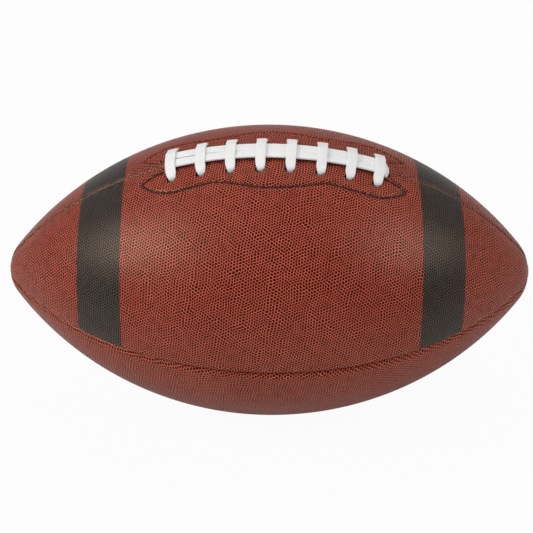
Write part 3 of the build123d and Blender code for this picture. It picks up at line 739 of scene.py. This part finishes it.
PANELS = {
    "front_lace": (0.0, (LACE_LIP, SIDE_LIP), FRONT, banded_hide),
    "front_lower": (pi / 2, (SIDE_LIP, SIDE_LIP), 0, plain_hide),
    "rear_lower": (pi, (SIDE_LIP, SIDE_LIP), 0, plain_hide),
    "rear_lace": (3 * pi / 2, (SIDE_LIP, LACE_LIP), REAR, banded_hide),
}
for number, (place, (start, lips, lace_side, finish)) in enumerate(PANELS.items()):
    bm = panel_mesh(start, lips, lace_side, 400.0 * number)
    # The front holes' cut edges are painted dark: a painted shade for the shadow inside them
    edge_finish = painted_shade_cut_hide if lace_side == FRONT else cut_hide
    panel = add_piece(f"{place}_leather", bm, [finish, edge_finish], [f"{place}_panel"])
    wall = panel.modifiers.new("leather_wall", "SOLIDIFY")
    wall.thickness = LEATHER * MM
    wall.offset = -1.0
    if lace_side:
        cutter = hole_cutter(lace_side, edge_finish)
        punch = panel.modifiers.new("punched_holes", "BOOLEAN")
        punch.operation = "DIFFERENCE"
        punch.solver = "EXACT"
        punch.material_mode = "TRANSFER"
        punch.object = cutter
        settle(panel, radians(50))
        bpy.data.objects.remove(cutter)
    else:
        settle(panel, radians(50))


def strap_grid(bm, length_steps, width_steps, set_point):
    """A flat grid whose points are set by their shares along and across, each from -1 to 1."""
    verts = bmesh.ops.create_grid(bm, x_segments=length_steps, y_segments=width_steps, size=1)["verts"]
    for vert in verts:
        vert.co = set_point(vert.co.x, vert.co.y)


# Reach and height of a cross-lace's middle layer, from its front hole to its rear hole
LACE_ROUTE = [
    (-11.4, -4.6),
    (-11.4, -2.6),
    (-11.2, -1.0),
    (-10.5, 0.35),
    (-9.2, 0.85),
    (-7.4, 1.35),
    (-6.0, 2.2),
    (-4.4, 2.95),
    (-1.5, 3.12),
    (1.0, 3.15),
    (4.4, 3.02),
    (6.4, 2.5),
    (8.2, 1.7),
    (10.2, 1.15),
    (12.0, 0.8),
    (13.1, 0.1),
    (13.4, -1.2),
    (13.4, -2.8),
    (13.4, -4.6),
]
lace_route = flowing_line(LACE_ROUTE)
lace_lengths = running_lengths(lace_route)


def cross_lace(bm, index):
    """One cross-lace: up out of its front hole, over both strips, and down into its rear hole."""

    def set_point(along, across):
        distance = (along + 1) / 2 * lace_lengths[-1]
        level = point_along(lace_route, lace_lengths, distance)
        # It narrows to a round tip as it is drawn into the front hole
        tip = min(max((-TIP_START - level.x) / TIP_LENGTH, 0.0), TIP_LIMIT)
        width = LACE_WIDTH * sqrt(1 - tip * tip) + LACE_FLARE * smooth(7.0, 11.0, level.x)
        reach, height = level.x, level.y - TIP_CURL * tip * tip * across * across
        crown = LACE_CROWN * across * across
        lean = lace_lean(index) * reach / (2 * HOLES[REAR][0])
        x = lace_x(index) + lean + TIP_ASIDE * tip + across * width / 2
        wave = LACE_WAVE * noise.noise(Vector((reach / 5, across, index * 3.7)))
        return on_skin(x, reach + lacing_reach(lace_x(index)), height - crown + wave)

    strap_grid(bm, 64, 10, set_point)


def long_strip(bm, side):
    """One strip along the seam: out of the slit at one end, under every cross-lace, and in at the other."""
    low = lace_x(0) - STRIP_END_LEFT
    high = lace_x(LACE_COUNT - 1) + STRIP_END_RIGHT
    end = [(0.0, -5.0), (0.0, -2.4), (0.05, 0.0), (0.9, 1.35), (3.0, STRIP_HEIGHT)]
    route = [(low + x, height) for x, height in end]
    route += [(lace_x(index), STRIP_HEIGHT) for index in range(1, LACE_COUNT - 1)]
    route += [(high - x, height) for x, height in reversed(end)]
    line = flowing_line(route, steps=16)
    lengths = running_lengths(line)

    def set_point(along, across):
        spot = point_along(line, lengths, (along + 1) / 2 * lengths[-1])
        x, height = spot.x, spot.y
        apart = STRIP_GAP * (1 - smooth(low, low + STRIP_CLOSE_LENGTH, x))
        middle = STRIP_SHIFT + lacing_reach(x)
        reach = middle + side * (apart / 2 + STRIP_WIDTH / 2) + across * STRIP_WIDTH / 2
        # Its outer corner is rounded at both ends
        corner = ((reach - middle) / STRIP_WIDTH) ** 2
        left = STRIP_ROUND_LEFT * smooth(low + 7, low + 1, x)
        right = STRIP_ROUND_RIGHT * smooth(high - 7, high - 1, x)
        x += corner * (left - right)
        crown = STRIP_CROWN * across * across
        wave = STRIP_WAVE * noise.noise(Vector((x / 7, across, side * 5.0)))
        return on_skin(x, reach, height - crown + wave)

    strap_grid(bm, 170, 6, set_point)


bm = bmesh.new()
for index in range(LACE_COUNT):
    cross_lace(bm, index)
for side in (FRONT, REAR):
    long_strip(bm, side)
bmesh.ops.recalc_face_normals(bm, faces=bm.faces)
lace = add_piece("lace_white", bm, [lace_finish], ["lace"])
body = lace.modifiers.new("lace_body", "SOLIDIFY")
body.thickness = LACE_THICKNESS * MM
body.offset = 0.0
edge = lace.modifiers.new("lace_edges", "BEVEL")
edge.width = LACE_EDGE * MM
edge.segments = 3
edge.limit_method = "ANGLE"
edge.angle_limit = radians(50)
settle(lace, radians(60))


def facing_stitches(side):
    """Separate stitches along a facing's line, each with both ends drawn down into the leather."""
    bm = bmesh.new()
    for run in facing_runs:
        lengths = running_lengths(run)
        count = round(lengths[-1] / STITCH_PITCH)
        step = lengths[-1] / count
        for number in range(count):
            start = point_along(run, lengths, number * step)
            end = point_along(run, lengths, (number + 1) * step)
            spot = (start + end) / 2
            heading = atan2(side * (end.y - start.y), end.x - start.x)
            verts = bmesh.ops.create_uvsphere(bm, u_segments=10, v_segments=10, radius=1)["verts"]
            for vert in verts:
                along = vert.co.z * STITCH_LENGTH / 2
                swell = STITCH_RADIUS * (1 - 0.25 * vert.co.z**2)
                vert.co = (along, vert.co.y * swell, vert.co.x * swell - 0.3 * vert.co.z**4)
            place = skin_frame(spot.x, side * spot.y, THREAD_HEIGHTS[side], heading)
            bmesh.ops.transform(bm, matrix=place, verts=verts)
    bmesh.ops.recalc_face_normals(bm, faces=bm.faces)
    return bm


for name, side in (("front", FRONT), ("rear", REAR)):
    add_piece(
        f"{name}_facing_thread",
        facing_stitches(side),
        [thread_finish],
        [f"{name}_facing_stitching"],
    )

# Solids that stay as they are get their own finish
KEPT_FINISHES = {
    "lining_fabric": lining_finish,
    "facing_leather": facing_finish,
    "brown_thread": thread_finish,
    "bladder_rubber": bladder_finish,
    "valve_rubber": valve_finish,
}
for subpart in frame["record"]["subparts"]:
    finish = KEPT_FINISHES.get(subpart["material_slot"])
    if finish:
        solid = frame["nodes"][subpart["node"]]
        solid.data.materials.clear()
        solid.data.materials.append(finish)

# A white sweep under the ball: to the camera it is nearly all its own white, and keeps a soft shadow
FLOOR_SIZE = 6.0
bm = bmesh.new()
floor_place = Matrix.Translation((0, 0, -BELLY_RADIUS * MM))
bmesh.ops.create_grid(bm, x_segments=1, y_segments=1, size=FLOOR_SIZE / 2, matrix=floor_place)
floor_mesh = bpy.data.meshes.new("floor")
bm.to_mesh(floor_mesh)
bm.free()
floor = bpy.data.objects.new("floor", floor_mesh)
bpy.context.scene.collection.objects.link(floor)
floor_finish = bpy.data.materials.new("white_paper_sweep")
floor_finish.use_nodes = True
tree = floor_finish.node_tree
tree.nodes.clear()
paper = add_node(tree, "ShaderNodeBsdfDiffuse", {"Color": hex_colour("#d8d8d7")})
white = add_node(tree, "ShaderNodeEmission", {"Color": (1, 1, 1, 1), "Strength": 1.0})
rays = add_node(tree, "ShaderNodeLightPath")
seen = add_node(
    tree,
    "ShaderNodeMath",
    {0: rays.outputs["Is Camera Ray"], 1: 0.95},
    operation="MULTIPLY",
).outputs[0]
sheet = add_node(tree, "ShaderNodeMixShader", {0: seen, 1: paper.outputs[0], 2: white.outputs[0]})
add_node(tree, "ShaderNodeOutputMaterial", {"Surface": sheet.outputs[0]})
floor_mesh.materials.append(floor_finish)

# Studio: white to the camera, lit from a pale backdrop behind and dim in front, with soft boxes
world = bpy.data.worlds.new("studio")
bpy.context.scene.world = world
world.use_nodes = True
tree = world.node_tree
tree.nodes.clear()
rays = add_node(tree, "ShaderNodeLightPath")
heading = add_node(tree, "ShaderNodeTexCoord").outputs["Generated"]
rearward = add_node(tree, "ShaderNodeSeparateXYZ", {"Vector": heading}).outputs["Y"]
room = add_node(
    tree,
    "ShaderNodeMapRange",
    {"Value": rearward, "From Min": -0.4, "From Max": 0.6, "To Min": 0.04, "To Max": 0.3},
    interpolation_type="SMOOTHSTEP",
).outputs["Result"]
light = add_node(tree, "ShaderNodeMath", {0: room, 1: rays.outputs["Is Camera Ray"]}, operation="MAXIMUM")
sky = add_node(tree, "ShaderNodeBackground", {"Color": (1, 1, 1, 1), "Strength": light.outputs[0]})
add_node(tree, "ShaderNodeOutputWorld", {"Surface": sky.outputs[0]})


def soft_box(name, azimuth, elevation, distance, width, height, power):
    """An area light that looks at the ball; azimuth 0 is the front and runs to the right."""
    light = bpy.data.lights.new(name, "AREA")
    light.shape = "RECTANGLE"
    light.size = width
    light.size_y = height
    light.energy = power
    box = bpy.data.objects.new(name, light)
    azimuth, elevation = radians(azimuth), radians(elevation)
    box.location = distance * Vector(
        (sin(azimuth) * cos(elevation), -cos(azimuth) * cos(elevation), sin(elevation))
    )
    box.rotation_euler = (-box.location).to_track_quat("-Z", "Y").to_euler()
    bpy.context.scene.collection.objects.link(box)
    return box


soft_box("left_box", -72, 38, 1.4, 0.7, 0.7, 11.6)
soft_box("right_box", 76, 37, 1.4, 0.7, 0.7, 6.4)
# The fills from above and in front are too broad and faint to show as reflections
soft_box("top_fill", 180, 65, 1.6, 1.2, 0.8, 7.8).visible_glossy = False
soft_box("front_fill", 0, 5, 1.6, 1.2, 1.2, 8.6).visible_glossy = False

# Camera at the photograph's height, turned a little to the left, at about two and a half ball lengths
AZIMUTH = radians(-0.58)
ELEVATION = radians(41.92)
ROLL = radians(0.83)
CAMERA_DISTANCE = 0.7
view = bpy.data.cameras.new("view")
view.lens = 86.59
view.sensor_width = 36.0
view.shift_x = -0.00786
view.shift_y = 0.00614
camera = bpy.data.objects.new("view", view)
camera.location = CAMERA_DISTANCE * Vector(
    (sin(AZIMUTH) * cos(ELEVATION), -cos(AZIMUTH) * cos(ELEVATION), sin(ELEVATION))
)
camera.rotation_euler = (
    Matrix.Rotation(AZIMUTH, 3, "Z")
    @ Matrix.Rotation(pi / 2 - ELEVATION, 3, "X")
    @ Matrix.Rotation(ROLL, 3, "Z")
).to_euler()
bpy.context.scene.collection.objects.link(camera)
bpy.context.scene.camera = camera
bpy.context.scene.view_settings.view_transform = "Standard"
